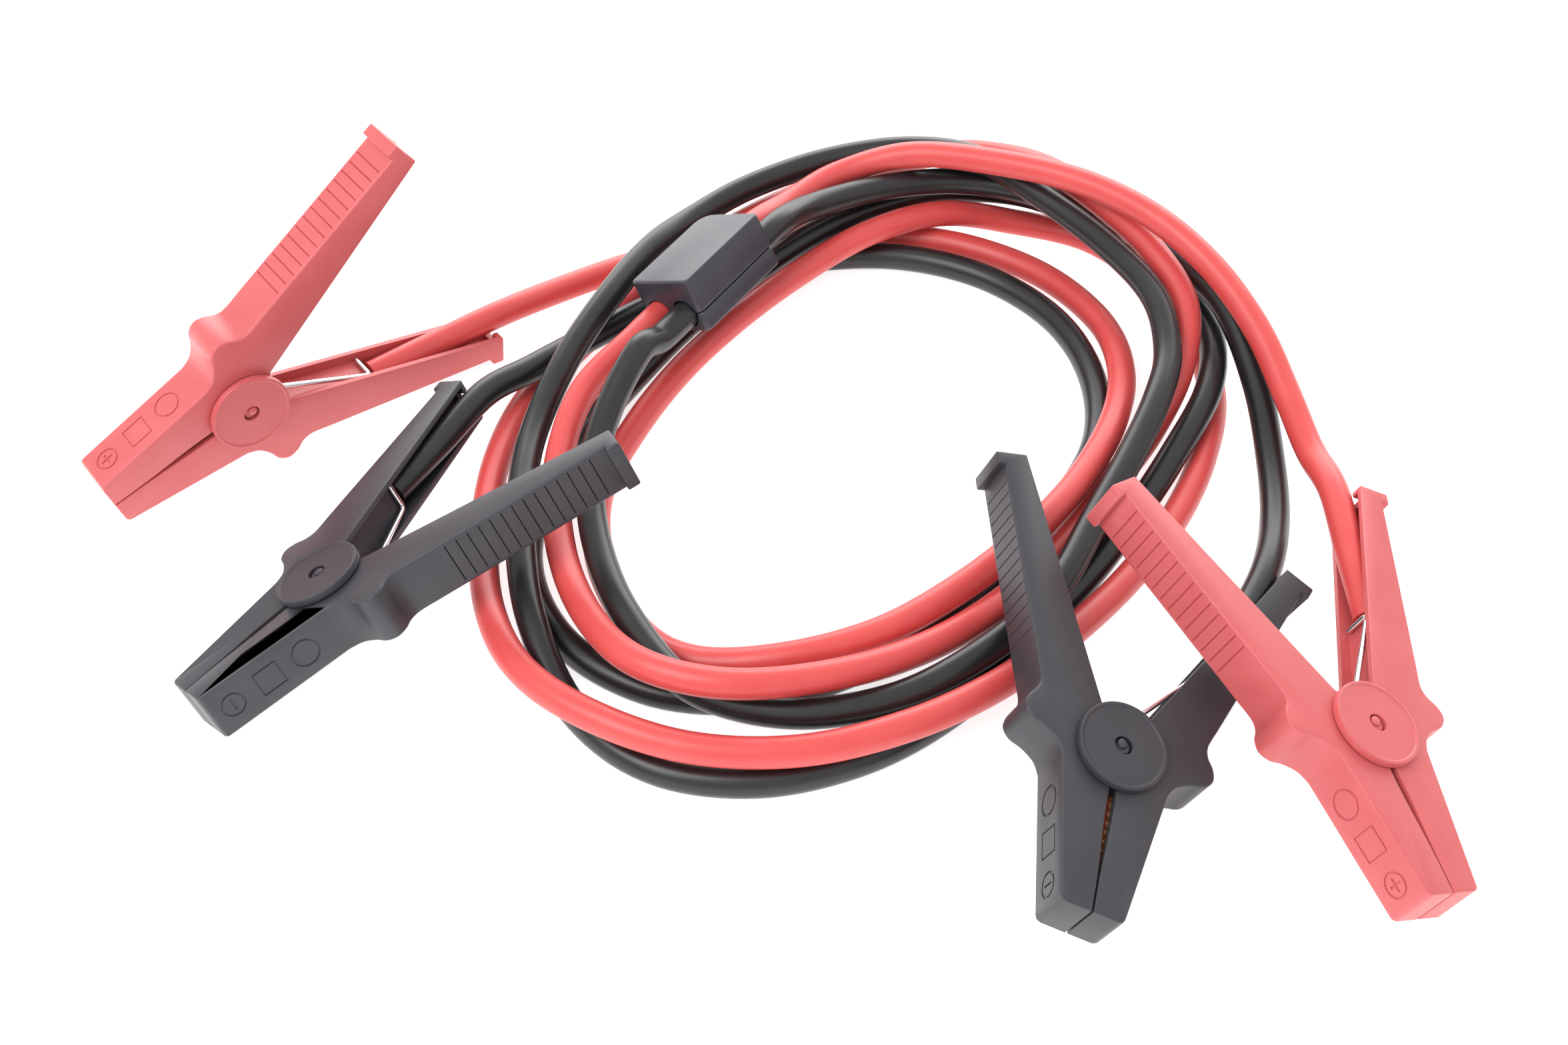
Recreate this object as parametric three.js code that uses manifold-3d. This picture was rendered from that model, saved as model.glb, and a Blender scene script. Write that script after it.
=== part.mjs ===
// Car jumper cable set: four spring clamps, two long copper cables and a surge protection box,
// lying loose on a floor. Millimetres, +Z up, the floor is z = 0.
import * as THREE from "three";
import { mergeVertices } from "three/addons/utils/BufferGeometryUtils.js";
import Module from "manifold-3d";

const wasm = await Module();
wasm.setup();

// Cables
const CABLE_RADIUS = 4.9;
const CABLE_SIDES = 10;
const CABLE_STEP = 33.5;

// Clamp shells: x runs to the jaw tips, z is the pivot axis and the grip shell is on +y
const SHELL_WIDTH = 17;
const SHELL_WALL = 2;
const BACK_AT_TIP = [52, 10.2];
const HUMP = [
  [9, 17.2], [5, 19.5], [2.2, 24], [0.8, 28.3], [-2.4, 30.9],
  [-6.4, 30.3], [-9.6, 28.3], [-13.5, 27.9], [-20, 30.2],
];
const HANDLE_END = [-84, 53];
const HANDLE_DIRECTION = [-0.94, 0.342];
const HANDLE_LIP = 2.6;
const HANDLE_OVERHANG = 4.5;
const HANDLE_END_WALL = 2.2;
const HANDLE_END_DEPTH = 8;
const HOOK_NOTCH_WIDTH = 8;
const HOOK_NOTCH_TOP = 4;
const HANDLE_ROOT = [-13, 7.8];
const WEB = [[-13, 11.8], [-42.4, 26.5]];
const WEB_WALL = 1.2;
const JAW_TIP = 54;
const JAW_END_HEIGHT = 8.2;
const JAW_GAP = 0.6;
const JAW_BOW = 0.9;
const LOBE_RADIUS = 10.5;
const LOBE_CLEARANCE = 0.6;
const DISC_RADIUS = 14.25;
const DISC_THICKNESS = 2.6;
const SHOULDER_LENGTH = 24;
const FREE_GAP = 0.3;

// Pivot and torsion spring
const PIN_RADIUS = 2.5;
const PIN_HOLE_RADIUS = 2.9;
const PIN_LENGTH = 22;
const WIRE_RADIUS = 0.9;
const COIL_RADIUS = 5.2;
const COIL_HALF_HEIGHT = 4.6;
const COIL_TURNS = 4;
const LEG_END = [-42.2, 25.2];
const CROSSBAR_REACH = 5.2;

// Contact plates
const CONTACT_START = 15;
const CONTACT_END = 50.5;
const CONTACT_HALF_WIDTH = 6.1;
const CONTACT_WALL = 1.2;
const CONTACT_WEB = 2.2;
const CONTACT_TOP_GAP = 0.4;
const TOOTH_PITCH = 3;
const TOOTH_HEIGHT = 0.7;
const TAIL_HALF_WIDTH = 5;
const TAIL = [
  [17, -5.7], [-12, -14.2], [-39.4, -31.6], [-41.6, -28.4], [-43.1, -28.8],
  [-41.8, -33.8], [-40, -33.6], [-12, -16], [17, -7.4],
];

// Cable channel of a clamp: the cable's centre line, from its end at the contact's tab outwards
const CHANNEL = [[-43.2, -30.2], [-69.1, -37], [-95, -43.8]];

// Protection box: x across the cables, y along them
const BOX_SIZE = [29, 44, 21];
const BOX_CORNER = 2.5;
const BOX_BIG_CORNER = 6;
const BOX_BEVEL = 1.2;
const BOX_PARTING = -3;
const BORE_OFFSET = 6.6;
const BORE_RADIUS = 5.5;
const BOX_CHANNEL = [-36, -18, 0, 18, 36];

// Places: centre, then turns about Z, Y and X in degrees
const BOX_PLACE = [[-11.5, 118, 38], [-36.6, -26.2, 4]];
const CLAMP_PLACES = {
  red_left: [[-170.3, 57.6, 32.6], [-142, 15, 89.1]],
  black_left: [[-126.3, -23.7, 20.4], [-133.8, 9.6, 23.3]],
  black_right: [[111.6, -88.5, 20.3], [-103.8, 5.6, 158.4]],
  red_right: [[186.3, -81.8, 21.1], [-74.1, 10.6, 158.5]],
};

// Cable routes between the clamps and the box
const RED_TO_BOX = [
  [-68.5, 140, 11.5], [-43.5, 159, 8], [-14, 174.5, 6], [20, 181.5, 6], [54, 181, 6],
  [87, 173.5, 6], [115.5, 154.5, 7], [134, 125.5, 9], [138, 93, 13.5], [131, 60.5, 18],
  [115.5, 29.5, 19.5], [95, 3, 19.5], [71.5, -19, 18.5], [46, -36.5, 18], [16.5, -45, 16],
  [-11.5, -42, 11], [-30.5, -25.5, 6.5], [-44, 3, 6], [-47, 36.5, 6], [-37, 68.5, 6],
  [-22, 97, 8], [-3, 121.5, 11], [20.5, 144, 15], [48, 165, 18.5], [77, 180.5, 16.5],
  [106.5, 186, 8.5], [136.5, 177.5, 6], [157.5, 151.5, 6], [169, 120, 6], [171, 86, 6],
  [162.5, 53.5, 6], [147.5, 22.5, 6], [127.5, -7, 8], [105, -33, 11], [82, -55.5, 15],
  [54, -73, 17.5], [21.5, -82.5, 17.5], [-12.5, -81.5, 18], [-43, -70, 19.5], [-65.5, -50, 17.5],
  [-78.5, -20, 12.5], [-84, 16.5, 9], [-83.5, 52, 7], [-76, 84.5, 6], [-60, 113, 6],
  [-39.5, 138.5, 9.5], [-18.5, 159.5, 14], [4.5, 178, 17], [25.5, 194.5, 16.5], [52, 206.5, 19.5],
  [81.5, 208, 25.5], [103, 196.5, 32], [119, 178, 38.5], [137, 156, 38], [152, 133.5, 35],
  [161.5, 110.5, 28.5], [157.5, 86, 19.5], [144, 60.5, 12], [126.5, 35, 10], [108, 7.5, 10.5],
  [87, -18.5, 12.5], [61, -41.5, 17], [30.5, -58, 23], [-1, -64.5, 27], [-27.5, -55.5, 26],
  [-44.5, -33, 21], [-56, -1.5, 18], [-60, 34.5, 20], [-53.5, 67.5, 25],
];
const RED_FROM_BOX = [
  [18.5, 168, 31], [37, 184, 32.5], [65.5, 186.5, 40], [98, 173, 46], [127.5, 156.5, 49],
  [151, 137, 48], [169.5, 115.5, 42.5], [183, 90.5, 34.5], [191, 65.5, 25.5], [195.5, 43, 21],
];
const BLACK_TO_BOX = [
  [-74, 88.5, 17.5], [-56, 106.5, 15.5], [-32, 129.5, 12.5], [-3.5, 152, 8], [28.5, 165.5, 6],
  [62.5, 166.5, 6], [93.5, 154.5, 6], [117.5, 130, 6], [128.5, 98.5, 6], [127, 64.5, 6],
  [112.5, 33.5, 6], [93, 5.5, 6], [71, -19.5, 6], [43, -39.5, 6], [10.5, -52.5, 6],
  [-24, -50.5, 6], [-52.5, -31.5, 6], [-67.5, -1.5, 6], [-67.5, 32, 6], [-55.5, 64, 6],
  [-39.5, 93.5, 6.5], [-19.5, 121, 10.5], [4.5, 145.5, 15], [29, 166.5, 18], [54.5, 185, 17],
  [84, 195.5, 16.5], [115, 189, 18], [141.5, 166.5, 17], [162, 139, 17], [171.5, 109.5, 17.5],
  [167, 78.5, 17.5], [150.5, 48, 13], [132, 20, 8], [113.5, -6, 6], [92.5, -32, 6],
  [69.5, -57.5, 6], [41.5, -76.5, 6], [8.5, -85.5, 6], [-24, -80, 6], [-48.5, -59.5, 8],
  [-63.5, -29, 14.5], [-70, 3.5, 18.5], [-71.5, 33, 18.5], [-69, 59, 19], [-60, 88, 24],
  [-46.5, 117.5, 28], [-33, 144, 28.5], [-18, 164.5, 26.5], [3.5, 182.5, 28], [33.5, 195.5, 31],
  [64.5, 198, 34.5], [91, 187.5, 37.5], [115, 165, 35.5], [136, 138, 34], [149.5, 110.5, 33],
  [151.5, 84.5, 29.5], [145, 61.5, 27.5], [133, 36.5, 23.5], [118.5, 10, 20], [103.5, -17.5, 18],
  [81.5, -41.5, 17], [52, -59.5, 14.5], [18.5, -65.5, 14], [-12.5, -57, 16.5], [-32.5, -31, 18.5],
  [-44, -1.5, 19.5], [-48, 27, 23], [-43.5, 52.5, 30], [-33.5, 74, 38.5],
];
const BLACK_FROM_BOX = [
  [27, 160.5, 35], [53, 178, 30.5], [83, 188, 26.5], [112.5, 180.5, 26.5], [140, 161.5, 28],
  [162, 136, 28.5], [176, 110.5, 28], [183.5, 79.5, 19], [184.5, 48.5, 12], [181.5, 20.5, 11],
];

const COLOURS = {
  red: 0xd84a4a,
  black: 0x2c2b2f,
  sheath: 0x161618,
  steel: 0xc9cbd0,
  copper: 0xc98a5a,
};

// A three.js geometry as a closed solid for the cuts and joins.
function solid(geometry) {
  const plain = geometry.index ? geometry.toNonIndexed() : geometry;
  const bare = new THREE.BufferGeometry();
  bare.setAttribute("position", plain.getAttribute("position"));
  const merged = mergeVertices(bare, 1e-4);
  return new wasm.Manifold(
    new wasm.Mesh({
      numProp: 3,
      vertProperties: merged.attributes.position.array,
      triVerts: new Uint32Array(merged.index.array),
    }),
  );
}

function meshOf(name, shape, colour) {
  const data = shape.getMesh();
  const geometry = new THREE.BufferGeometry();
  geometry.setAttribute("position", new THREE.BufferAttribute(data.vertProperties, 3));
  geometry.setIndex(new THREE.BufferAttribute(data.triVerts, 1));
  const mesh = new THREE.Mesh(geometry, new THREE.MeshStandardMaterial({ color: colour }));
  mesh.name = name;
  return mesh;
}

function join(...shapes) {
  return wasm.Manifold.union(shapes);
}

function prism(points, z0, z1) {
  const outline = new THREE.Shape(points.map(([x, y]) => new THREE.Vector2(x, y)));
  const geometry = new THREE.ExtrudeGeometry(outline, { depth: z1 - z0, bevelEnabled: false });
  return solid(geometry.translate(0, 0, z0));
}

function cylinder(radius, z0, z1, sides) {
  const geometry = new THREE.CylinderGeometry(radius, radius, z1 - z0, sides);
  return solid(geometry.rotateX(Math.PI / 2).translate(0, 0, (z0 + z1) / 2));
}

// Straight cylinder between two points.
function rod(from, to, radius, sides) {
  const along = to.clone().sub(from);
  const turn = new THREE.Quaternion().setFromUnitVectors(
    new THREE.Vector3(0, 1, 0),
    along.clone().normalize(),
  );
  const middle = from.clone().add(to).multiplyScalar(0.5);
  const geometry = new THREE.CylinderGeometry(radius, radius, along.length(), sides);
  return solid(geometry.applyQuaternion(turn).translate(middle.x, middle.y, middle.z));
}

function tube(curve, radius, sides, steps) {
  const section = new THREE.Shape();
  for (let i = 0; i < sides; i++) {
    const angle = (2 * Math.PI * i) / sides;
    section.lineTo(radius * Math.cos(angle), radius * Math.sin(angle));
  }
  return solid(new THREE.ExtrudeGeometry(section, { steps, extrudePath: curve }));
}

// Mirror from the grip side to the cable side of a clamp.
function flip(shape) {
  return shape.mirror([0, 1, 0]);
}

function backLine() {
  const hump = new THREE.SplineCurve(HUMP.map(([x, y]) => new THREE.Vector2(x, y)));
  return [
    BACK_AT_TIP,
    ...hump.getPoints(2 * (HUMP.length - 1)).map((p) => [p.x, p.y]),
    HANDLE_END,
  ];
}

// The back line moved inwards by a wall.
function insideLine(wall) {
  const line = backLine();
  return line.map(([x, y], i) => {
    const before = line[Math.max(i - 1, 0)];
    const after = line[Math.min(i + 1, line.length - 1)];
    const dx = after[0] - before[0];
    const dy = after[1] - before[1];
    const length = Math.hypot(dx, dy);
    return [x - (wall * dy) / length, y + (wall * dx) / length];
  });
}

// Point near the handle's end, measured along the handle and out of its back.
function handlePoint(along, out) {
  const [hx, hy] = HANDLE_DIRECTION;
  return [HANDLE_END[0] + along * hx + out * hy, HANDLE_END[1] + along * hy - out * hx];
}

// Side view of the grip shell.
function shellProfile() {
  const jaw = [];
  for (let i = 0; i <= 6; i++) {
    const x = -8 + (i * (JAW_TIP - 8 + 8)) / 6;
    jaw.push([x, JAW_GAP / 2 + JAW_BOW * Math.sin((Math.PI * i) / 6) ** 2]);
  }
  return [
    [JAW_TIP, JAW_GAP / 2],
    [JAW_TIP, JAW_END_HEIGHT],
    [JAW_TIP - 0.6, JAW_END_HEIGHT + 1.4],
    ...backLine(),
    handlePoint(0, HANDLE_LIP),
    handlePoint(HANDLE_OVERHANG, HANDLE_LIP),
    handlePoint(HANDLE_OVERHANG, -HANDLE_END_DEPTH),
    HANDLE_ROOT,
    ...jaw,
  ];
}

// Side view of the hollow between the cheeks, open towards the other shell.
function cavityProfile() {
  const line = insideLine(SHELL_WALL);
  const along = HANDLE_OVERHANG - HANDLE_END_WALL;
  return [
    [BACK_AT_TIP[0], -40],
    [BACK_AT_TIP[0], line[0][1]],
    ...line.slice(1, -1),
    handlePoint(along, -SHELL_WALL),
    handlePoint(along, -40),
  ];
}

// Side view of the web between the cheeks, which the spring's crossbar rests on.
function webProfile() {
  const [[x0, y0], [x1, y1]] = WEB;
  const length = Math.hypot(x1 - x0, y1 - y0);
  const dx = (-WEB_WALL * (y1 - y0)) / length;
  const dy = (WEB_WALL * (x0 - x1)) / length;
  return [[x0, y0], [x1, y1], [x1 + dx, y1 + dy], [x0 + dx, y0 + dy]];
}

function hollowShell() {
  const half = SHELL_WIDTH / 2;
  const notch = [
    handlePoint(0, -HOOK_NOTCH_TOP),
    handlePoint(9, -HOOK_NOTCH_TOP),
    handlePoint(9, -20),
    handlePoint(0, -20),
  ];
  const shell = join(prism(shellProfile(), -half, half), cylinder(LOBE_RADIUS, -half, half, 36))
    .subtract(prism(cavityProfile(), SHELL_WALL - half, half - SHELL_WALL))
    .subtract(prism(notch, -HOOK_NOTCH_WIDTH / 2, HOOK_NOTCH_WIDTH / 2));
  return join(shell, prism(webProfile(), -half + SHELL_WALL / 2, half - SHELL_WALL / 2));
}

function pinHole() {
  return cylinder(PIN_HOLE_RADIUS, -SHELL_WIDTH, SHELL_WIDTH, 24);
}

function gripShell() {
  return hollowShell().subtract(pinHole());
}

// The cable shell's cheeks stop short of the grip shell's lobes, and its discs cover them.
function cableShell() {
  const half = SHELL_WIDTH / 2;
  const under = half + FREE_GAP;
  const over = under + DISC_THICKNESS;
  const lobeSpace = cylinder(LOBE_RADIUS + LOBE_CLEARANCE, -SHELL_WIDTH, SHELL_WIDTH, 36);
  const body = flip(hollowShell()).subtract(lobeSpace);
  const outline = prism(shellProfile(), half - 0.2, under + 0.1);
  const ring = cylinder(DISC_RADIUS, half - 0.2, under + 0.1, 48).subtract(lobeSpace);
  const bridge = flip(outline).intersect(ring);
  const cover = cylinder(DISC_RADIUS, under, over, 48);
  const cone = new THREE.CylinderGeometry(DISC_RADIUS, DISC_RADIUS + SHOULDER_LENGTH, over - half, 48);
  cone.rotateX(Math.PI / 2).translate(0, 0, (half + over) / 2);
  const cheek = flip(prism(shellProfile(), half - 0.2, over));
  const shoulder = cheek.intersect(solid(cone)).subtract(lobeSpace);
  const side = join(bridge, cover, shoulder);
  return join(body, side, side.mirror([0, 0, 1])).subtract(pinHole());
}

function pivotPin() {
  return cylinder(PIN_RADIUS, -PIN_LENGTH / 2, PIN_LENGTH / 2, 24);
}

// Angle where a straight leg that ends at a point leaves the coil.
function legAngle([x, y], side) {
  return Math.atan2(y, x) + side * Math.acos(COIL_RADIUS / Math.hypot(x, y));
}

// Crossbar and bend at a leg's end: side 1 on the grip shell's web, -1 on the cable shell's.
function legPoints(side) {
  const [x, y] = LEG_END;
  const bend = 2;
  return [
    new THREE.Vector3(x, side * y, -side * CROSSBAR_REACH),
    new THREE.Vector3(x, side * y, side * (COIL_HALF_HEIGHT - bend)),
    new THREE.Vector3(x + bend, side * (y - bend * 0.7), side * COIL_HALF_HEIGHT),
  ];
}

function torsionSpring() {
  const [x, y] = LEG_END;
  const start = legAngle([x, y], 1);
  const end = legAngle([x, -y], -1) + 2 * Math.PI * COIL_TURNS;
  const count = 12 * COIL_TURNS;
  const points = legPoints(1);
  for (let i = 0; i <= count; i++) {
    const angle = start + ((end - start) * i) / count;
    const z = COIL_HALF_HEIGHT * (1 - (2 * i) / count);
    points.push(new THREE.Vector3(COIL_RADIUS * Math.cos(angle), COIL_RADIUS * Math.sin(angle), z));
  }
  points.push(...legPoints(-1).reverse());
  const curve = new THREE.CatmullRomCurve3(points, false, "centripetal");
  curve.arcLengthDivisions = 1200;
  return tube(curve, WIRE_RADIUS, 6, 84);
}

// Tooth strip with two side flanges, filling the jaw's hollow.
function jawContact() {
  const back = (x) => {
    const [x0, y0] = BACK_AT_TIP;
    const [x1, y1] = HUMP[0];
    return y0 + ((x - x0) * (y1 - y0)) / (x1 - x0) - SHELL_WALL - CONTACT_TOP_GAP;
  };
  const low = JAW_GAP / 2 + 0.1;
  const teeth = [];
  for (let x = CONTACT_START; x < CONTACT_END - TOOTH_PITCH / 2; x += TOOTH_PITCH) {
    teeth.push([x, low]);
    teeth.push([x + TOOTH_PITCH / 2, low + TOOTH_HEIGHT]);
  }
  const side = [
    [CONTACT_END, low],
    [CONTACT_END, back(CONTACT_END)],
    [CONTACT_START, back(CONTACT_START)],
    ...teeth,
  ];
  const hollow = [
    [CONTACT_START - 1, CONTACT_WEB],
    [CONTACT_END + 1, CONTACT_WEB],
    [CONTACT_END + 1, 30],
    [CONTACT_START - 1, 30],
  ];
  const inner = CONTACT_HALF_WIDTH - CONTACT_WALL;
  return prism(side, -CONTACT_HALF_WIDTH, CONTACT_HALF_WIDTH).subtract(prism(hollow, -inner, inner));
}

// The cable side's contact goes on under the coil and the web to a tab at the cable's end.
function cableContact() {
  return join(flip(jawContact()), prism(TAIL, -TAIL_HALF_WIDTH, TAIL_HALF_WIDTH));
}

function clamp(name, colour) {
  const group = new THREE.Group();
  group.name = name + "_clamp";
  group.add(
    meshOf(name + "_cable_shell", cableShell(), colour),
    meshOf(name + "_grip_shell", gripShell(), colour),
    meshOf(name + "_pivot_pin", pivotPin(), colour),
    meshOf(name + "_torsion_spring", torsionSpring(), COLOURS.steel),
    meshOf(name + "_cable_contact", cableContact(), COLOURS.copper),
    meshOf(name + "_grip_contact", jawContact(), COLOURS.copper),
  );
  return place(group, CLAMP_PLACES[name]);
}

function place(object, [centre, turns]) {
  const [z, y, x] = turns.map(THREE.MathUtils.degToRad);
  object.position.set(...centre);
  object.rotation.set(x, y, z, "ZYX");
  object.updateMatrix();
  return object;
}

function roundedBox() {
  const [width, length, height] = BOX_SIZE;
  const x = width / 2;
  const y = length / 2;
  const outline = new THREE.Shape();
  outline.absarc(x - BOX_CORNER, BOX_CORNER - y, BOX_CORNER, -Math.PI / 2, 0);
  outline.absarc(x - BOX_CORNER, y - BOX_CORNER, BOX_CORNER, 0, Math.PI / 2);
  outline.absarc(BOX_BIG_CORNER - x, y - BOX_BIG_CORNER, BOX_BIG_CORNER, Math.PI / 2, Math.PI);
  outline.absarc(BOX_CORNER - x, BOX_CORNER - y, BOX_CORNER, Math.PI, 1.5 * Math.PI);
  const geometry = new THREE.ExtrudeGeometry(outline, {
    depth: height - 2 * BOX_BEVEL,
    curveSegments: 5,
    bevelThickness: BOX_BEVEL,
    bevelSize: BOX_BEVEL,
    bevelOffset: -BOX_BEVEL,
    bevelSegments: 2,
  });
  return solid(geometry.translate(0, 0, BOX_BEVEL - height / 2));
}

function boxHousing(name, z0, z1) {
  const [width, length] = BOX_SIZE;
  const slab = new THREE.BoxGeometry(2 * width, 2 * length, z1 - z0).translate(0, 0, (z0 + z1) / 2);
  let shape = roundedBox().intersect(solid(slab));
  for (const x of [-BORE_OFFSET, BORE_OFFSET]) {
    const from = new THREE.Vector3(x, -length, BOX_PARTING);
    const to = new THREE.Vector3(x, length, BOX_PARTING);
    shape = shape.subtract(rod(from, to, BORE_RADIUS, 24));
  }
  return meshOf(name, shape, COLOURS.black);
}

function protectionBox() {
  const group = new THREE.Group();
  group.name = "protection_box";
  const gap = FREE_GAP / 2;
  const half = BOX_SIZE[2] / 2;
  group.add(
    boxHousing("box_lower_housing", -half - 1, BOX_PARTING - gap),
    boxHousing("box_upper_housing", BOX_PARTING + gap, half + 1),
  );
  return place(group, BOX_PLACE);
}

// Straight stretches of a cable: inside a clamp's channel and through the box.
function channelPoints(name) {
  const { matrix } = place(new THREE.Object3D(), CLAMP_PLACES[name]);
  return CHANNEL.map(([x, y]) => new THREE.Vector3(x, y, 0).applyMatrix4(matrix));
}

function borePoints(x) {
  const { matrix } = place(new THREE.Object3D(), BOX_PLACE);
  return BOX_CHANNEL.map((y) => new THREE.Vector3(x, y, BOX_PARTING).applyMatrix4(matrix));
}

// A curve whose spaced points fall at the given fractions of its length.
class SectionPath extends THREE.Curve {
  constructor(curve, fractions) {
    super();
    this.curve = curve;
    this.fractions = fractions;
  }

  fractionAt(t) {
    const place = t * (this.fractions.length - 1);
    const i = Math.min(Math.floor(place), this.fractions.length - 2);
    return THREE.MathUtils.lerp(this.fractions[i], this.fractions[i + 1], place - i);
  }

  getPointAt(t) {
    return this.curve.getPointAt(this.fractionAt(t));
  }

  getTangentAt(t) {
    return this.curve.getTangentAt(this.fractionAt(t));
  }
}

// Even steps along a cable, with a section at both ends of its straight stretch through the box.
function cableSections(curve, first, last) {
  const lengths = curve.getLengths();
  const total = lengths.at(-1);
  const at = (i) => lengths[Math.round((i * (lengths.length - 1)) / (curve.points.length - 1))];
  const marks = [0, at(first), at(last), total];
  const fractions = [0];
  for (let k = 1; k < marks.length; k++) {
    const stretch = marks[k] - marks[k - 1];
    const count = Math.round(stretch / CABLE_STEP);
    for (let i = 1; i <= count; i++) {
      fractions.push((marks[k - 1] + (stretch * i) / count) / total);
    }
  }
  return fractions;
}

function cable(name, left, toBox, bore, fromBox, right) {
  const free = (points) => points.map((p) => new THREE.Vector3(...p));
  const points = [
    ...channelPoints(left),
    ...free(toBox),
    ...borePoints(bore),
    ...free(fromBox),
    ...channelPoints(right).reverse(),
  ];
  const curve = new THREE.CatmullRomCurve3(points, false, "catmullrom", 0.5);
  curve.arcLengthDivisions = 40 * (points.length - 1);
  const first = CHANNEL.length + toBox.length;
  const fractions = cableSections(curve, first, first + BOX_CHANNEL.length - 1);
  const path = new SectionPath(curve, fractions);
  return meshOf(name, tube(path, CABLE_RADIUS, CABLE_SIDES, fractions.length - 1), COLOURS.sheath);
}

const set = new THREE.Group();
set.name = "jumper_cable_set";
set.add(
  clamp("red_left", COLOURS.red),
  clamp("black_left", COLOURS.black),
  clamp("black_right", COLOURS.black),
  clamp("red_right", COLOURS.red),
  protectionBox(),
  cable("red_cable", "red_left", RED_TO_BOX, -BORE_OFFSET, RED_FROM_BOX, "red_right"),
  cable("black_cable", "black_left", BLACK_TO_BOX, BORE_OFFSET, BLACK_FROM_BOX, "black_right"),
);

export default set;
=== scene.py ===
from math import acos, atan2, cos, hypot, pi, radians, sin

import bmesh
import bpy
from mathutils import Euler, Matrix, Vector


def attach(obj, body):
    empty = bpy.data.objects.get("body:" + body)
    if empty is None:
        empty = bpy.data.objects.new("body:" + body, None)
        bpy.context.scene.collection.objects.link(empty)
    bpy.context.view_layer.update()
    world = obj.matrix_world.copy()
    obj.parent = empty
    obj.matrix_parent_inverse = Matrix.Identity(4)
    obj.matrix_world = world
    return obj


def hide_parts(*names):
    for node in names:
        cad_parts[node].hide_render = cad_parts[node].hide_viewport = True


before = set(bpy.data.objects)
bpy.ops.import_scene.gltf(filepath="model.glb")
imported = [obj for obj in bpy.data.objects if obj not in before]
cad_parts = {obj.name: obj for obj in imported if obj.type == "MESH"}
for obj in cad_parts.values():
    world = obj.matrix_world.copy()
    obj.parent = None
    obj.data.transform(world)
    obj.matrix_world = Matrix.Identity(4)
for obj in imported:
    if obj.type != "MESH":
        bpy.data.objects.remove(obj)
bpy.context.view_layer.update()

# Sizes in metres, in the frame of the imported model
MM = 0.001
CABLE_DIAMETER = 0.010

# Clamp shells: x runs to the jaw tips, z is the pivot axis and the grip shell is on +y
HALF_WIDTH = 8.5 * MM
WALL = 2 * MM
BACK_AT_TIP = (52 * MM, 10.2 * MM)
HUMP = [
    (9, 17.2), (5, 19.5), (2.2, 24), (0.8, 28.3), (-2.4, 30.9),
    (-6.4, 30.3), (-9.6, 28.3), (-13.5, 27.9), (-20, 30.2),
]
HANDLE_END = (-84 * MM, 53 * MM)
HANDLE_DIRECTION = (-0.94, 0.342)
HANDLE_LIP = 2.6 * MM
HANDLE_OVERHANG = 4.5 * MM
HANDLE_END_WALL = 2.2 * MM
HANDLE_END_DEPTH = 8 * MM
HOOK_NOTCH_HALF = 4 * MM
HOOK_NOTCH_TOP = 4 * MM
HANDLE_ROOT = (-13 * MM, 7.8 * MM)
WEB = ((-13 * MM, 11.8 * MM), (-42.4 * MM, 26.5 * MM))
WEB_WALL = 1.2 * MM
JAW_TIP = 54 * MM
JAW_START = -8 * MM
JAW_END_HEIGHT = 8.2 * MM
JAW_GAP = 0.6 * MM
JAW_BOW = 0.9 * MM
LOBE_RADIUS = 10.5 * MM
LOBE_CLEARANCE = 0.6 * MM
DISC_RADIUS = 14.25 * MM
DISC_THICKNESS = 2.6 * MM
SHOULDER_LENGTH = 24 * MM
DISC_RECESS = 0.35 * MM
FREE_GAP = 0.3 * MM
EDGE_ROUND = 1.3 * MM

# Moulded details on the shells
RIB_COUNT = 14
RIB_FIRST = 10 * MM
RIB_PITCH = 4 * MM
RIB_WIDTH = 0.8 * MM
RIB_DEPTH = 0.45 * MM
RIB_HALF_LENGTH = 7.1 * MM
MARK_LINE = 0.7 * MM
MARK_DEPTH = 0.35 * MM
CUTTER_TOP = 0.4 * MM
SIGN_AT, SIGN_RING, SIGN_BAR = 46.5 * MM, 3.7 * MM, 4.4 * MM
SQUARE_AT, SQUARE_RADIUS = 33.5 * MM, 5.7 * MM
CIRCLE_AT, CIRCLE_RADIUS = 20.5 * MM, 4.4 * MM

# Pivot and torsion spring
PIN_RADIUS = 2.5 * MM
PIN_HOLE_RADIUS = 2.9 * MM
PIN_END_DEPTH = 1.3 * MM
PIN_EDGE = 0.3 * MM
WIRE_RADIUS = 0.9 * MM
COIL_RADIUS = 5.2 * MM
COIL_HALF_HEIGHT = 4.6 * MM
COIL_TURNS = 4
LEG_END = (-42.2 * MM, 25.2 * MM)
CROSSBAR_REACH = 5.2 * MM
LEG_BEND = 2 * MM

# Cable channel of a clamp, from the cable's end outwards
CHANNEL = [(-0.0432, -0.0302), (-0.0691, -0.037), (-0.095, -0.0438)]

# Protection box: x across the cables, y along them
BOX_SIZE = (0.029, 0.044, 0.021)
BOX_CORNER = 2.5 * MM
BOX_BIG_CORNER = 6 * MM
BOX_EDGE = 0.8 * MM
BOX_PARTING = -3 * MM
BORE_OFFSET = 6.6 * MM
BORE_RADIUS = 5.5 * MM
BOX_CHANNEL = (-0.036, -0.018, 0, 0.018, 0.036)

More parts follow.
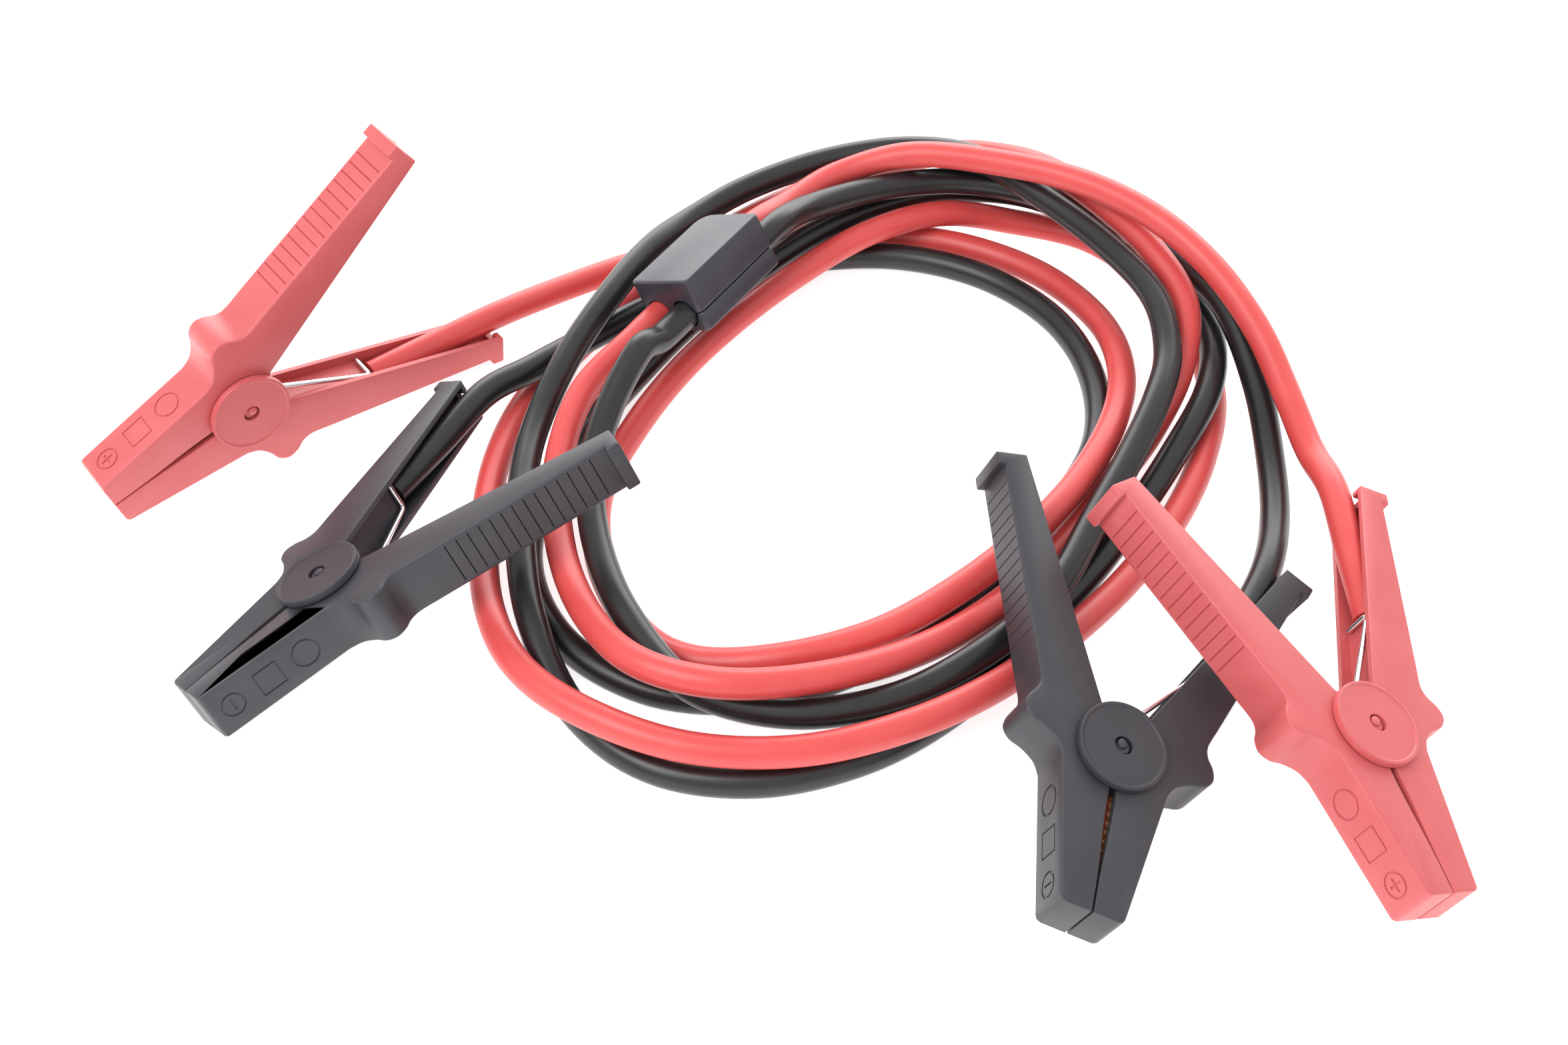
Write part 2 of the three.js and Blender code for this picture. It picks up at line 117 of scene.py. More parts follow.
# Places: centre, then turns about Z, Y and X in degrees
BOX_PLACE = ((-0.0115, 0.118, 0.038), (-36.6, -26.2, 4))
CLAMP_PLACES = {
    "red_left": ((-0.1703, 0.0576, 0.0326), (-142, 15, 89.1)),
    "black_left": ((-0.1263, -0.0237, 0.0204), (-133.8, 9.6, 23.3)),
    "black_right": ((0.1116, -0.0885, 0.0203), (-103.8, 5.6, 158.4)),
    "red_right": ((0.1863, -0.0818, 0.0211), (-74.1, 10.6, 158.5)),
}

# Camera
CAMERA_TARGET = Vector((0.0165, 0.029, 0))
CAMERA_ELEVATION = 46
CAMERA_DISTANCE = 0.686
FOCAL_LENGTH_MM = 45.9

# Cable routes between the clamps and the box
RED_TO_BOX = [
    (-0.0685, 0.14, 0.0115), (-0.0435, 0.159, 0.008), (-0.014, 0.1745, 0.006), (0.02, 0.1815, 0.006),
    (0.054, 0.181, 0.006), (0.087, 0.1735, 0.006), (0.1155, 0.1545, 0.007), (0.134, 0.1255, 0.009),
    (0.138, 0.093, 0.0135), (0.131, 0.0605, 0.018), (0.1155, 0.0295, 0.0195), (0.095, 0.003, 0.0195),
    (0.0715, -0.019, 0.0185), (0.046, -0.0365, 0.018), (0.0165, -0.045, 0.016), (-0.0115, -0.042, 0.011),
    (-0.0305, -0.0255, 0.0065), (-0.044, 0.003, 0.006), (-0.047, 0.0365, 0.006), (-0.037, 0.0685, 0.006),
    (-0.022, 0.097, 0.008), (-0.003, 0.1215, 0.011), (0.0205, 0.144, 0.015), (0.048, 0.165, 0.0185),
    (0.077, 0.1805, 0.0165), (0.1065, 0.186, 0.0085), (0.1365, 0.1775, 0.006), (0.1575, 0.1515, 0.006),
    (0.169, 0.12, 0.006), (0.171, 0.086, 0.006), (0.1625, 0.0535, 0.006), (0.1475, 0.0225, 0.006),
    (0.1275, -0.007, 0.008), (0.105, -0.033, 0.011), (0.082, -0.0555, 0.015), (0.054, -0.073, 0.0175),
    (0.0215, -0.0825, 0.0175), (-0.0125, -0.0815, 0.018), (-0.043, -0.07, 0.0195), (-0.0655, -0.05, 0.0175),
    (-0.0785, -0.02, 0.0125), (-0.084, 0.0165, 0.009), (-0.0835, 0.052, 0.007), (-0.076, 0.0845, 0.006),
    (-0.06, 0.113, 0.006), (-0.0395, 0.1385, 0.0095), (-0.0185, 0.1595, 0.014), (0.0045, 0.178, 0.017),
    (0.0255, 0.1945, 0.0165), (0.052, 0.2065, 0.0195), (0.0815, 0.208, 0.0255), (0.103, 0.1965, 0.032),
    (0.119, 0.178, 0.0385), (0.137, 0.156, 0.038), (0.152, 0.1335, 0.035), (0.1615, 0.1105, 0.0285),
    (0.1575, 0.086, 0.0195), (0.144, 0.0605, 0.012), (0.1265, 0.035, 0.01), (0.108, 0.0075, 0.0105),
    (0.087, -0.0185, 0.0125), (0.061, -0.0415, 0.017), (0.0305, -0.058, 0.023), (-0.001, -0.0645, 0.027),
    (-0.0275, -0.0555, 0.026), (-0.0445, -0.033, 0.021), (-0.056, -0.0015, 0.018), (-0.06, 0.0345, 0.02),
    (-0.0535, 0.0675, 0.025),
]
RED_FROM_BOX = [
    (0.0185, 0.168, 0.031), (0.037, 0.184, 0.0325), (0.0655, 0.1865, 0.04), (0.098, 0.173, 0.046),
    (0.1275, 0.1565, 0.049), (0.151, 0.137, 0.048), (0.1695, 0.1155, 0.0425), (0.183, 0.0905, 0.0345),
    (0.191, 0.0655, 0.0255), (0.1955, 0.043, 0.021),
]
BLACK_TO_BOX = [
    (-0.074, 0.0885, 0.0175), (-0.056, 0.1065, 0.0155), (-0.032, 0.1295, 0.0125), (-0.0035, 0.152, 0.008),
    (0.0285, 0.1655, 0.006), (0.0625, 0.1665, 0.006), (0.0935, 0.1545, 0.006), (0.1175, 0.13, 0.006),
    (0.1285, 0.0985, 0.006), (0.127, 0.0645, 0.006), (0.1125, 0.0335, 0.006), (0.093, 0.0055, 0.006),
    (0.071, -0.0195, 0.006), (0.043, -0.0395, 0.006), (0.0105, -0.0525, 0.006), (-0.024, -0.0505, 0.006),
    (-0.0525, -0.0315, 0.006), (-0.0675, -0.0015, 0.006), (-0.0675, 0.032, 0.006), (-0.0555, 0.064, 0.006),
    (-0.0395, 0.0935, 0.0065), (-0.0195, 0.121, 0.0105), (0.0045, 0.1455, 0.015), (0.029, 0.1665, 0.018),
    (0.0545, 0.185, 0.017), (0.084, 0.1955, 0.0165), (0.115, 0.189, 0.018), (0.1415, 0.1665, 0.017),
    (0.162, 0.139, 0.017), (0.1715, 0.1095, 0.0175), (0.167, 0.0785, 0.0175), (0.1505, 0.048, 0.013),
    (0.132, 0.02, 0.008), (0.1135, -0.006, 0.006), (0.0925, -0.032, 0.006), (0.0695, -0.0575, 0.006),
    (0.0415, -0.0765, 0.006), (0.0085, -0.0855, 0.006), (-0.024, -0.08, 0.006), (-0.0485, -0.0595, 0.008),
    (-0.0635, -0.029, 0.0145), (-0.07, 0.0035, 0.0185), (-0.0715, 0.033, 0.0185), (-0.069, 0.059, 0.019),
    (-0.06, 0.088, 0.024), (-0.0465, 0.1175, 0.028), (-0.033, 0.144, 0.0285), (-0.018, 0.1645, 0.0265),
    (0.0035, 0.1825, 0.028), (0.0335, 0.1955, 0.031), (0.0645, 0.198, 0.0345), (0.091, 0.1875, 0.0375),
    (0.115, 0.165, 0.0355), (0.136, 0.138, 0.034), (0.1495, 0.1105, 0.033), (0.1515, 0.0845, 0.0295),
    (0.145, 0.0615, 0.0275), (0.133, 0.0365, 0.0235), (0.1185, 0.01, 0.02), (0.1035, -0.0175, 0.018),
    (0.0815, -0.0415, 0.017), (0.052, -0.0595, 0.0145), (0.0185, -0.0655, 0.014), (-0.0125, -0.057, 0.0165),
    (-0.0325, -0.031, 0.0185), (-0.044, -0.0015, 0.0195), (-0.048, 0.027, 0.023), (-0.0435, 0.0525, 0.03),
    (-0.0335, 0.074, 0.0385),
]
BLACK_FROM_BOX = [
    (0.027, 0.1605, 0.035), (0.053, 0.178, 0.0305), (0.083, 0.188, 0.0265), (0.1125, 0.1805, 0.0265),
    (0.14, 0.1615, 0.028), (0.162, 0.136, 0.0285), (0.176, 0.1105, 0.028), (0.1835, 0.0795, 0.019),
    (0.1845, 0.0485, 0.012), (0.1815, 0.0205, 0.011),
]


def placed(place):
    centre, (z, y, x) = place
    turn = Euler((radians(x), radians(y), radians(z)), "XYZ").to_matrix().to_4x4()
    return Matrix.Translation(centre) @ turn


def make_camera():
    data = bpy.data.cameras.new("camera")
    data.lens = FOCAL_LENGTH_MM
    data.sensor_width = 36
    data.clip_start = 0.01
    camera = bpy.data.objects.new("camera", data)
    e = radians(CAMERA_ELEVATION)
    camera.location = CAMERA_TARGET + CAMERA_DISTANCE * Vector((0, -cos(e), sin(e)))
    camera.rotation_euler = (pi / 2 - e, 0, 0)
    bpy.context.collection.objects.link(camera)
    bpy.context.scene.camera = camera


# Materials


def new_material(name):
    material = bpy.data.materials.new(name)
    material.use_nodes = True
    shader = material.node_tree.nodes["Principled BSDF"]
    return material, material.node_tree, shader


def noise(tree, scale, detail=3):
    place = tree.nodes.new("ShaderNodeTexCoord")
    node = tree.nodes.new("ShaderNodeTexNoise")
    node.inputs["Scale"].default_value = scale
    node.inputs["Detail"].default_value = detail
    tree.links.new(place.outputs["Object"], node.inputs["Vector"])
    return node


def vary_colour(tree, shader, low, high, scale):
    ramp = tree.nodes.new("ShaderNodeValToRGB")
    ramp.color_ramp.elements[0].position = 0.35
    ramp.color_ramp.elements[0].color = (*low, 1)
    ramp.color_ramp.elements[1].position = 0.65
    ramp.color_ramp.elements[1].color = (*high, 1)
    tree.links.new(noise(tree, scale).outputs["Fac"], ramp.inputs["Fac"])
    tree.links.new(ramp.outputs["Color"], shader.inputs["Base Color"])


def vary_roughness(tree, shader, low, high, scale):
    spread = tree.nodes.new("ShaderNodeMapRange")
    spread.inputs["To Min"].default_value = low
    spread.inputs["To Max"].default_value = high
    tree.links.new(noise(tree, scale).outputs["Fac"], spread.inputs["Value"])
    tree.links.new(spread.outputs["Result"], shader.inputs["Roughness"])


def add_grain(tree, shader, scale, strength):
    bump = tree.nodes.new("ShaderNodeBump")
    bump.inputs["Strength"].default_value = strength
    bump.inputs["Distance"].default_value = 0.0001
    tree.links.new(noise(tree, scale, 2).outputs["Fac"], bump.inputs["Height"])
    tree.links.new(bump.outputs["Normal"], shader.inputs["Normal"])


def plastic(name, low, high, roughness, grain):
    material, tree, shader = new_material(name)
    vary_colour(tree, shader, low, high, 60)
    vary_roughness(tree, shader, roughness - 0.05, roughness + 0.05, 45)
    add_grain(tree, shader, 2600, grain)
    shader.inputs["Specular IOR Level"].default_value = 0.5
    return material


def metal(name, low, high, roughness):
    material, tree, shader = new_material(name)
    shader.inputs["Metallic"].default_value = 1
    vary_colour(tree, shader, low, high, 120)
    vary_roughness(tree, shader, roughness - 0.06, roughness + 0.08, 500)
    add_grain(tree, shader, 1800, 0.15)
    return material


def make_materials():
    return {
        "red_plastic": plastic("red_plastic", (0.550, 0.098, 0.101), (0.575, 0.110, 0.113), 0.42, 0.10),
        "black_plastic": plastic("black_plastic", (0.033, 0.032, 0.038), (0.039, 0.038, 0.045), 0.45, 0.16),
        "box_plastic": plastic("box_plastic", (0.030, 0.029, 0.039), (0.037, 0.036, 0.047), 0.34, 0.05),
        "red_sheath": plastic("red_sheath", (0.610, 0.063, 0.060), (0.640, 0.073, 0.069), 0.38, 0.05),
        "black_sheath": plastic("black_sheath", (0.010, 0.010, 0.011), (0.014, 0.014, 0.015), 0.33, 0.05),
        "bright_steel": metal("bright_steel", (0.78, 0.79, 0.80), (0.84, 0.84, 0.85), 0.20),
        "coppered_plate": metal("coppered_plate", (0.72, 0.42, 0.27), (0.82, 0.50, 0.33), 0.30),
    }


# Mesh helpers


def object_of(name, mesh):
    piece = bpy.data.objects.new(name, mesh)
    bpy.context.collection.objects.link(piece)
    return piece


def catmull(points, steps):
    """Smooth line through the points, with that many steps between two of them."""
    points = [Vector(p) for p in points]
    padded = [points[0], *points, points[-1]]
    line = []
    for i in range(1, len(padded) - 2):
        a, b, c, d = padded[i - 1 : i + 3]
        for k in range(steps):
            t = k / steps
            line.append(
                0.5 * (2 * b + (c - a) * t + (2 * a - 5 * b + 4 * c - d) * t**2)
                + 0.5 * (3 * b - a - 3 * c + d) * t**3
            )
    line.append(points[-1])
    return line


def prism(name, points, z0, z1, cap_weights=None, corner_weights=None, bevel=0, segments=3):
    """Outline points drawn up from z0 to z1, its edges rounded by their weights times bevel."""
    bm = bmesh.new()
    low = [bm.verts.new((x, y, z0)) for x, y in points]
    high = [bm.verts.new((x, y, z1)) for x, y in points]
    bm.faces.new(low[::-1])
    bm.faces.new(high)
    count = len(points)
    for i in range(count):
        j = (i + 1) % count
        bm.faces.new((low[i], low[j], high[j], high[i]))
    bmesh.ops.recalc_face_normals(bm, faces=bm.faces)
    if bevel:
        layer = bm.edges.layers.float.new("bevel_weight_edge")
        for i in range(count):
            j = (i + 1) % count
            for ring in (low, high):
                bm.edges.get((ring[i], ring[j]))[layer] = cap_weights[i]
            bm.edges.get((low[i], high[i]))[layer] = corner_weights[i]
    mesh = bpy.data.meshes.new(name)
    bm.to_mesh(mesh)
    bm.free()
    piece = object_of(name, mesh)
    if bevel:
        rounding = piece.modifiers.new("round", "BEVEL")
        rounding.width = bevel
        rounding.segments = segments
        rounding.limit_method = "WEIGHT"
        rounding.miter_outer = "MITER_ARC"
        apply_modifiers(piece)
    return piece


def cylinder(name, radius, z0, z1, sides, centre=(0, 0)):
    x0, y0 = centre
    ring = [
        (x0 + radius * cos(2 * pi * i / sides), y0 + radius * sin(2 * pi * i / sides))
        for i in range(sides)
    ]
    return prism(name, ring, z0, z1)


def lathe(name, profile, sides):
    """Closed solid turned about z; the profile is (radius, z) from the axis to the axis."""
    bm = bmesh.new()
    rings = []
    for radius, z in profile:
        if radius == 0:
            rings.append([bm.verts.new((0, 0, z))] * sides)
            continue
        turn = [2 * pi * i / sides for i in range(sides)]
        rings.append([bm.verts.new((radius * cos(a), radius * sin(a), z)) for a in turn])
    for below, above in zip(rings, rings[1:]):
        for i in range(sides):
            j = (i + 1) % sides
            corners = dict.fromkeys((below[i], below[j], above[j], above[i]))
            bm.faces.new(tuple(corners))
    bmesh.ops.recalc_face_normals(bm, faces=bm.faces)
    mesh = bpy.data.meshes.new(name)
    bm.to_mesh(mesh)
    bm.free()
    return object_of(name, mesh)


def apply_modifiers(piece):
    graph = bpy.context.evaluated_depsgraph_get()
    mesh = bpy.data.meshes.new_from_object(piece.evaluated_get(graph))
    old = piece.data
    piece.modifiers.clear()
    piece.data = mesh
    bpy.data.meshes.remove(old)


def combine(piece, operation, others):
    """Boolean of piece with each of the others, which are used up."""
    for other in others:
        step = piece.modifiers.new(operation, "BOOLEAN")
        step.operation = operation
        step.solver = "EXACT"
        step.object = other
        apply_modifiers(piece)
        bpy.data.objects.remove(other)
    return piece


def joined(pieces):
    """Several separate bodies as one object, for a single cut."""
    bm = bmesh.new()
    for piece in pieces:
        part = piece.data.copy()
        part.transform(piece.matrix_world)
        bm.from_mesh(part)
        bpy.data.meshes.remove(part)
        bpy.data.objects.remove(piece)
    mesh = bpy.data.meshes.new("cutter")
    bm.to_mesh(mesh)
    bm.free()
    return object_of("cutter", mesh)


def smooth(mesh, angle=32):
    mesh.polygons.foreach_set("use_smooth", [True] * len(mesh.polygons))
    mesh.set_sharp_from_angle(angle=radians(angle))


def finish_piece(piece, material, body, *nodes):
    piece.data.materials.clear()
    piece.data.materials.append(material)
    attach(piece, body)
    if nodes:
        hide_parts(*nodes)
    return piece


# Cables


def channel_points(name):
    place = placed(CLAMP_PLACES[name])
    return [place @ Vector((x, y, 0)) for x, y in CHANNEL]


def bore_points(x):
    place = placed(BOX_PLACE)
    return [place @ Vector((x, y, BOX_PARTING)) for y in BOX_CHANNEL]


def make_cable(name, left, to_box, bore, from_box, right, material):
    points = [
        *channel_points(left),
        *(Vector(p) for p in to_box),
        *bore_points(bore),
        *(Vector(p) for p in from_box),
        *reversed(channel_points(right)),
    ]
    curve = bpy.data.curves.new(name, "CURVE")
    curve.dimensions = "3D"
    curve.bevel_depth = CABLE_DIAMETER / 2
    curve.bevel_resolution = 7
    curve.resolution_u = 9
    curve.use_fill_caps = True
    spline = curve.splines.new("BEZIER")
    spline.bezier_points.add(len(points) - 1)
    for i, (knot, point) in enumerate(zip(spline.bezier_points, points)):
        before = points[max(i - 1, 0)]
        after = points[min(i + 1, len(points) - 1)]
        reach = (after - before) / 6
        knot.co = point
        knot.handle_left = point - reach
        knot.handle_right = point + reach
    piece = object_of(name + "_sheath", curve)
    curve.materials.append(material)
    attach(piece, "set")
    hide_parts(name)


# Clamp shells


def handle_point(along, out):
    hx, hy = HANDLE_DIRECTION
    x, y = HANDLE_END
    return (x + along * hx + out * hy, y + along * hy - out * hx)


def back_line():
    hump = [(x * MM, y * MM) for x, y in HUMP]
    return [BACK_AT_TIP, *(tuple(p) for p in catmull(hump, 4)), HANDLE_END]


def inside_line():
    line = back_line()
    moved = []
    for i, (x, y) in enumerate(line):
        x0, y0 = line[max(i - 1, 0)]
        x1, y1 = line[min(i + 1, len(line) - 1)]
        length = hypot(x1 - x0, y1 - y0)
        moved.append((x - WALL * (y1 - y0) / length, y + WALL * (x1 - x0) / length))
    return moved


def shell_outline():
    """Side view of the grip shell with the rounding weight of each point and of the edge after it."""
    tip = [
        (JAW_TIP, JAW_GAP / 2),
        (JAW_TIP, JAW_END_HEIGHT),
        (JAW_TIP - 0.6 * MM, JAW_END_HEIGHT + 1.4 * MM),
    ]
    back = back_line()
    lip = [handle_point(0, HANDLE_LIP), handle_point(HANDLE_OVERHANG, HANDLE_LIP)]
    inner = [handle_point(HANDLE_OVERHANG, -HANDLE_END_DEPTH), HANDLE_ROOT]
    jaw = []
    for i in range(13):
        x = JAW_START + i * JAW_TIP / 12
        jaw.append((x, JAW_GAP / 2 + JAW_BOW * sin(pi * i / 12) ** 2))
    points = [*tip, *back, *lip, *inner, *jaw]
    caps = [0.6] * len(tip) + [1] * (len(back) + len(lip)) + [0.35] * (len(inner) + len(jaw))
    corners = [0.3, 0.3, 0.3] + [0] * len(back) + [0.5, 0.8, 0.5, 0.3] + [0] * len(jaw)
    return points, caps, corners


def cavity_outline():
    line = inside_line()
    along = HANDLE_OVERHANG - HANDLE_END_WALL
    return [
        (BACK_AT_TIP[0], -40 * MM),
        (BACK_AT_TIP[0], line[0][1]),
        *line[1:-1],
        handle_point(along, -WALL),
        handle_point(along, -40 * MM),
    ]


def web_outline():
    """Side view of the web between the cheeks, which the spring's crossbar rests on."""
    (x0, y0), (x1, y1) = WEB
    length = hypot(x1 - x0, y1 - y0)
    dx = -WEB_WALL * (y1 - y0) / length
    dy = WEB_WALL * (x0 - x1) / length
    return [(x0, y0), (x1, y1), (x1 + dx, y1 + dy), (x0 + dx, y0 + dy)]


def hollow_shell(name):
    points, caps, corners = shell_outline()
    shell = prism(name, points, -HALF_WIDTH, HALF_WIDTH, caps, corners, EDGE_ROUND)
    notch = [
        handle_point(0, -HOOK_NOTCH_TOP),
        handle_point(9 * MM, -HOOK_NOTCH_TOP),
        handle_point(9 * MM, -20 * MM),
        handle_point(0, -20 * MM),
    ]
    combine(shell, "UNION", [cylinder("lobe", LOBE_RADIUS, -HALF_WIDTH, HALF_WIDTH, 64)])
    cuts = [
        prism("cavity", cavity_outline(), WALL - HALF_WIDTH, HALF_WIDTH - WALL),
        prism("notch", notch, -HOOK_NOTCH_HALF, HOOK_NOTCH_HALF),
    ]
    combine(shell, "DIFFERENCE", cuts)
    web = prism("web", web_outline(), WALL / 2 - HALF_WIDTH, HALF_WIDTH - WALL / 2)
    return combine(shell, "UNION", [web])


def on_slope(x0, y0, direction, along, out):
    """Point along a straight back, moved out of it."""
    dx, dy = direction
    return (x0 + along * dx + out * dy, y0 + along * dy - out * dx)


def rib_grooves():
    """Fine grooves across the straight back of the handle."""
    x0, y0 = HUMP[-1][0] * MM, HUMP[-1][1] * MM
    x1, y1 = HANDLE_END
    length = hypot(x1 - x0, y1 - y0)
    direction = ((x1 - x0) / length, (y1 - y0) / length)
    grooves = []
    for i in range(RIB_COUNT):
        middle = RIB_FIRST + i * RIB_PITCH
        corners = [
            on_slope(x0, y0, direction, middle - RIB_WIDTH / 2, 0.3 * MM),
            on_slope(x0, y0, direction, middle, -RIB_DEPTH),
            on_slope(x0, y0, direction, middle + RIB_WIDTH / 2, 0.3 * MM),
        ]
        grooves.append(prism("groove", corners, -RIB_HALF_LENGTH, RIB_HALF_LENGTH))
    return joined(grooves)


def mark_frame(x):
    """Place on the jaw's back at x: local z out of the face and local x along the jaw."""
    (x0, y0), (x1, y1) = BACK_AT_TIP, (HUMP[0][0] * MM, HUMP[0][1] * MM)
    y = y0 + (x - x0) * (y1 - y0) / (x1 - x0)
    along = Vector((x0 - x1, y0 - y1, 0)).normalized()
    out = Vector((-along.y, along.x, 0))
    across = out.cross(along)
    turn = Matrix((along, across, out)).transposed().to_4x4()
    return Matrix.Translation((x, y, 0)) @ turn


def ring_cutter(radius, sides, turn=0.0):
    """Thin closed line of that radius, as a cutter for a shallow groove."""
    bm = bmesh.new()
    rings = []
    for r in (radius - MARK_LINE / 2, radius + MARK_LINE / 2):
        for z in (-MARK_DEPTH, CUTTER_TOP):
            angles = [2 * pi * i / sides + turn for i in range(sides)]
            rings.append([bm.verts.new((r * cos(a), r * sin(a), z)) for a in angles])
    inner_low, inner_high, outer_low, outer_high = rings
    loop = [inner_low, inner_high, outer_high, outer_low, inner_low]
    for a, b in zip(loop, loop[1:]):
        for i in range(sides):
            j = (i + 1) % sides
            bm.faces.new((a[i], a[j], b[j], b[i]))
    bmesh.ops.recalc_face_normals(bm, faces=bm.faces)
    mesh = bpy.data.meshes.new("ring")
    bm.to_mesh(mesh)
    bm.free()
    return object_of("ring", mesh)


def bar_cutter(length, across):
    half = MARK_LINE / 2
    x, y = (half, length / 2) if across else (length / 2, half)
    return prism("bar", [(-x, -y), (x, -y), (x, y), (-x, y)], -MARK_DEPTH, CUTTER_TOP)


def mark_cutters(plus):
    """Polarity sign in a circle near the tip, then a square and a larger circle."""
    marks = [ring_cutter(SIGN_RING, 40), bar_cutter(SIGN_BAR, True)]
    if plus:
        half = SIGN_BAR / 2
        for side in (-1, 1):
            x = side * (half + MARK_LINE / 2) / 2
            long = (half - MARK_LINE / 2) / 2 - 0.02 * MM
            marks.append(prism("bar", [
                (x - long, -MARK_LINE / 2), (x + long, -MARK_LINE / 2),
                (x + long, MARK_LINE / 2), (x - long, MARK_LINE / 2),
            ], -MARK_DEPTH, CUTTER_TOP))
    for piece in marks:
        piece.matrix_world = mark_frame(SIGN_AT)
    square = ring_cutter(SQUARE_RADIUS, 4, pi / 4)
    square.matrix_world = mark_frame(SQUARE_AT)
    circle = ring_cutter(CIRCLE_RADIUS, 48)
    circle.matrix_world = mark_frame(CIRCLE_AT)
    return joined([*marks, square, circle])


def pin_hole():
    return cylinder("hole", PIN_HOLE_RADIUS, -2 * HALF_WIDTH, 2 * HALF_WIDTH, 48)


def grip_shell(name, plus):
    shell = hollow_shell(name)
    combine(shell, "DIFFERENCE", [pin_hole(), rib_grooves(), mark_cutters(plus)])
    smooth(shell.data)
    return shell


def pivot_disc(side):
    """Round cover plate with a thin raised rim."""
    low = HALF_WIDTH + FREE_GAP
    high = low + DISC_THICKNESS
    r = DISC_RADIUS
    profile = [
        (0, low), (r - 0.3 * MM, low), (r, low + 0.3 * MM), (r, high - 0.5 * MM),
        (r - 0.15 * MM, high - 0.15 * MM), (r - 0.5 * MM, high), (r - 0.9 * MM, high),
        (r - 1.2 * MM, high - 0.1 * MM), (r - 1.5 * MM, high - DISC_RECESS), (0, high - DISC_RECESS),
    ]
    return lathe("disc", [(radius, side * z) for radius, z in profile], 96)


def shoulder(side, space):
    """Part of the cheek that rises in a long slope to the disc's face."""
    points, caps, corners = shell_outline()
    low = HALF_WIDTH - 1.4 * MM
    high = HALF_WIDTH + FREE_GAP + DISC_THICKNESS - DISC_RECESS
    z0, z1 = sorted((side * low, side * high))
    cheek = prism("shoulder", [(x, -y) for x, y in points], z0, z1, caps, corners, EDGE_ROUND)
    foot = DISC_RADIUS + SHOULDER_LENGTH * (high - low) / (high - HALF_WIDTH)
    profile = [(0, low - MM), (foot, low - MM), (foot, low), (DISC_RADIUS, high), (0, high)]
    combine(cheek, "INTERSECT", [lathe("slope", [(r, side * z) for r, z in profile], 96)])
    return combine(cheek, "DIFFERENCE", [cylinder("space", space, z0 - MM, z1 + MM, 64)])


def cable_shell(name):
    shell = hollow_shell(name)
    shell.data.transform(Matrix.Scale(-1, 4, (0, 1, 0)))
    shell.data.flip_normals()
    space = LOBE_RADIUS + LOBE_CLEARANCE
    combine(shell, "DIFFERENCE", [
        cylinder("space", space, -2 * HALF_WIDTH, 2 * HALF_WIDTH, 64),
        rib_grooves_mirrored(),
    ])
    points, _, _ = shell_outline()
    low, high = HALF_WIDTH - 0.2 * MM, HALF_WIDTH + FREE_GAP + 0.1 * MM
    for side in (-1, 1):
        z0, z1 = sorted((side * low, side * high))
        bridge = cylinder("bridge", DISC_RADIUS - 0.3 * MM, z0, z1, 96)
        outline = prism("outline", [(x, -y) for x, y in points], z0 - MM, z1 + MM)
        combine(bridge, "INTERSECT", [outline])
        combine(bridge, "DIFFERENCE", [cylinder("space", space, z0 - MM, z1 + MM, 64)])
        combine(shell, "UNION", [bridge, pivot_disc(side), shoulder(side, space)])
    combine(shell, "DIFFERENCE", [pin_hole()])
    smooth(shell.data)
    return shell


def rib_grooves_mirrored():
    grooves = rib_grooves()
    grooves.data.transform(Matrix.Scale(-1, 4, (0, 1, 0)))
    grooves.data.flip_normals()
    return grooves


def pivot_pin(name):
    """Pin that ends below the disc's face in a small off-centre knob."""
    end = HALF_WIDTH + FREE_GAP + DISC_THICKNESS - PIN_END_DEPTH
    r, edge = PIN_RADIUS, PIN_EDGE
    low_half = [(0, -end), (r - edge, -end), (r, edge - end)]
    pin = lathe(name, [*low_half, (r, end - edge), (r - edge, end), (0, end)], 48)
    for side in (-1, 1):
        outline = [
            (0, end - MM), (1.7 * MM, end - MM), (1.7 * MM, end + 0.3 * MM),
            (1.4 * MM, end + 0.8 * MM), (0.8 * MM, end + 1.1 * MM), (0, end + 1.2 * MM),
        ]
        knob = lathe("knob", [(radius, side * z) for radius, z in outline], 32)
        knob.data.transform(Matrix.Translation((-0.7 * MM, 0.3 * MM, 0)))
        combine(pin, "UNION", [knob])
    smooth(pin.data)
    return pin


# Torsion spring


def leg_angle(point, side):
    x, y = point
    return atan2(y, x) + side * acos(COIL_RADIUS / hypot(x, y))


def leg_line(side):
    """Crossbar, bend and start of a leg: side 1 on the grip shell's web, -1 on the cable shell's."""
    x, y = LEG_END
    corner = Vector((x, side * y, side * COIL_HALF_HEIGHT))
    start = corner - Vector((0, 0, side * LEG_BEND))
    end = corner + LEG_BEND * Vector((1, -side * 0.7, 0))
    line = [Vector((x, side * y, -side * CROSSBAR_REACH))]
    for i in range(7):
        t = i / 6
        line.append((1 - t) ** 2 * start + 2 * t * (1 - t) * corner + t * t * end)
    return line


def spring_line():
    x, y = LEG_END
    start = leg_angle((x, y), 1)
    end = leg_angle((x, -y), -1) + 2 * pi * COIL_TURNS
    count = 24 * COIL_TURNS
    line = leg_line(1)
    for i in range(count + 1):
        angle = start + (end - start) * i / count
        z = COIL_HALF_HEIGHT * (1 - 2 * i / count)
        line.append(Vector((COIL_RADIUS * cos(angle), COIL_RADIUS * sin(angle), z)))
    return line + leg_line(-1)[::-1]


